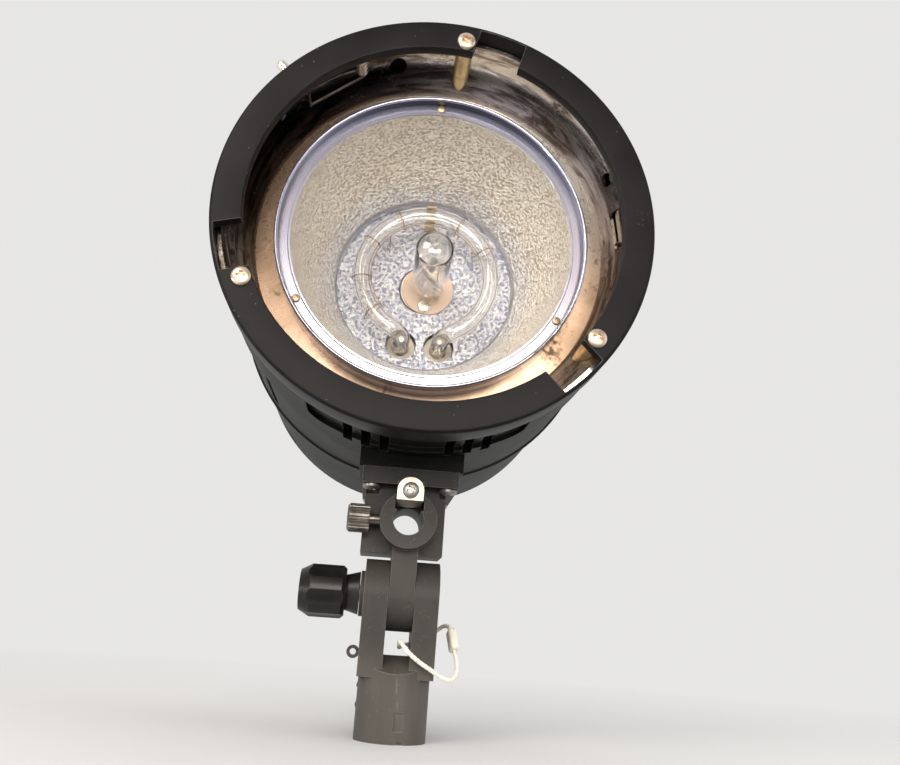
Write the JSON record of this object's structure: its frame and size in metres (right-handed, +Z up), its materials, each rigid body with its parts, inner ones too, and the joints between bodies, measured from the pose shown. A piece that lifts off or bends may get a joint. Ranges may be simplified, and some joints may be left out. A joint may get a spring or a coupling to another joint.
{
  "type": "studio flash head",
  "caption": "Drum-shaped studio flash head with a plated accessory mount, ring flash tube and modelling lamp, on a tilting bracket with umbrella hole and stand socket.",
  "frame": {"origin": "centre of the stand socket's mouth", "axes": "+Z up along the stand socket's bore, the lamp faces -Y, +X to the right as seen from in front"},
  "size_m": [0.152, 0.2283, 0.2505],
  "materials": {
    "black_satin": "satin black paint, lightly scratched",
    "black_moulding": "fine grained black moulding",
    "grey_moulding": "dark grey glass filled moulding, worn",
    "black_gloss": "smooth black",
    "plated_cup": "warm nickel plate, smudged",
    "bright_plate": "bright nickel plate",
    "brass_plate": "turned brass",
    "spun_aluminium": "pebbled bright aluminium",
    "steel": "plain steel",
    "clear_glass": "clear glass",
    "ceramic": "light tan insulator",
    "cotton": "off-white cotton",
    "ivory_plastic": "ivory moulding",
    "green_board": "green laminate",
    "blue_sleeve": "shrunk sleeve",
    "red_plastic": "red moulding",
    "grey_plastic": "light grey moulding",
    "red_lens": "tinted lens",
    "green_lens": "tinted lens",
    "copper_coil": "wound wire"
  },
  "bodies": {
    "stand": {"stand_fork": "grey_moulding", "hinge_bolt": "steel", "tag_string": "cotton", "tag_seal": "ivory_plastic"},
    "stand_lock": {"stand_lock_screw": "steel", "stand_lock_knob": "black_gloss"},
    "tilt_knob": {"tilt_knob": "black_gloss", "knob_insert": "brass_plate"},
    "umbrella_thumbscrew": {"umbrella_thumbscrew": "grey_moulding"},
    "release_pin": {"release_pin": "bright_plate"},
    "lock_spring": {"lock_spring": "bright_plate"},
    "fan_rotor": {"fan_rotor": "black_gloss"},
    "power_switch": {"power_switch": "red_plastic"},
    "fuse_cap": {"fuse_cap": "black_gloss"},
    "flash_dial": {"flash_dial": "black_gloss"},
    "lamp_dial": {"lamp_dial": "black_gloss"},
    "test_button": {"test_button": "red_plastic"},
    "cell_button": {"cell_button": "grey_plastic"},
    "head": {"tilt_bracket": "grey_moulding", "bracket_screws": "bright_plate", "umbrella_clip": "bright_plate", "umbrella_clip_screw": "bright_plate", "front_ring": "black_satin", "ring_skirt": "black_satin", "ring_screws": "bright_plate", "ring_posts": "brass_plate", "mount_cup": "plated_cup", "cup_screws": "steel", "spring_post": "bright_plate", "rattle_spring": "bright_plate", "reflector": "spun_aluminium", "reflector_screws": "bright_plate", "flash_tube": "clear_glass", "tube_insulators": "ceramic", "trigger_wire": "brass_plate", "tube_clip": "brass_plate", "modelling_lamp": "clear_glass", "lamp_plate": "ceramic", "lamp_plate_screw": "bright_plate", "lamp_socket": "ceramic", "front_cap": "black_moulding", "lower_shell": "black_moulding", "upper_shell": "black_moulding", "shell_screws": "steel", "lamp_deck": "steel", "main_board": "green_board", "capacitors": "blue_sleeve", "trigger_coil": "copper_coil", "control_board": "green_board", "back_panel": "black_moulding", "panel_screws": "bright_plate", "fan_frame": "black_gloss", "switch_frame": "black_gloss", "mains_inlet": "black_gloss", "inlet_pins": "bright_plate", "fuse_holder": "black_gloss", "sync_jack": "bright_plate", "dial_pots": "steel", "slave_cell": "red_lens", "ready_light": "green_lens"}
  },
  "joints": [
    {"name": "tilt", "type": "hinge", "parent": "stand", "child": "head", "pos_m": [0, 0, 0.049], "axis": [1, 0, 0], "range_deg": [-90, 75]},
    {"name": "tilt_knob_turn", "type": "hinge", "parent": "stand", "child": "tilt_knob", "pos_m": [0, 0, 0.049], "axis": [1, 0, 0], "range_deg": [-180, 180]},
    {"name": "stand_lock_turn", "type": "hinge", "parent": "stand", "child": "stand_lock", "pos_m": [0, 0, 0.013], "axis": [0, 1, 0], "range_deg": [-180, 180]},
    {"name": "umbrella_screw_turn", "type": "hinge", "parent": "head", "child": "umbrella_thumbscrew", "pos_m": [0, -0.012, 0.0745], "axis": [1, 0, 0], "range_deg": [-180, 180]},
    {"name": "release_pin_push", "type": "slide", "parent": "head", "child": "release_pin", "axis": [0.7314, 0, -0.682], "range_m": [0, 0.0035], "stiffness_N_per_m": 400, "springref_m": -0.002},
    {"name": "lock_spring_swing", "type": "hinge", "parent": "head", "child": "lock_spring", "pos_m": [-0.03105, 0, 0.23494], "axis": [0, -1, 0], "range_deg": [0, 9]},
    {"name": "fan_spin", "type": "hinge", "parent": "head", "child": "fan_rotor", "pos_m": [0, 0.153, 0.211], "axis": [0, 1, 0], "continuous": true},
    {"name": "power_switch_rock", "type": "hinge", "parent": "head", "child": "power_switch", "pos_m": [-0.033, 0.153, 0.141], "axis": [1, 0, 0], "range_deg": [0, 16]},
    {"name": "fuse_cap_turn", "type": "hinge", "parent": "head", "child": "fuse_cap", "pos_m": [0.033, 0.157, 0.141], "axis": [0, 1, 0], "range_deg": [-90, 0]},
    {"name": "flash_dial_turn", "type": "hinge", "parent": "head", "child": "flash_dial", "pos_m": [-0.034, 0.157, 0.174], "axis": [0, 1, 0], "range_deg": [-150, 150]},
    {"name": "lamp_dial_turn", "type": "hinge", "parent": "head", "child": "lamp_dial", "pos_m": [0.034, 0.157, 0.174], "axis": [0, 1, 0], "range_deg": [-150, 150]},
    {"name": "test_button_push", "type": "slide", "parent": "head", "child": "test_button", "axis": [0, -1, 0], "range_m": [0, 0.002], "stiffness_N_per_m": 400, "springref_m": -0.001},
    {"name": "cell_button_push", "type": "slide", "parent": "head", "child": "cell_button", "axis": [0, -1, 0], "range_m": [0, 0.002], "stiffness_N_per_m": 400, "springref_m": -0.001}
  ],
  "couplings": [
    {"joint": "lock_spring_swing", "follows": "release_pin_push", "rad_per_m": 43}
  ]
}
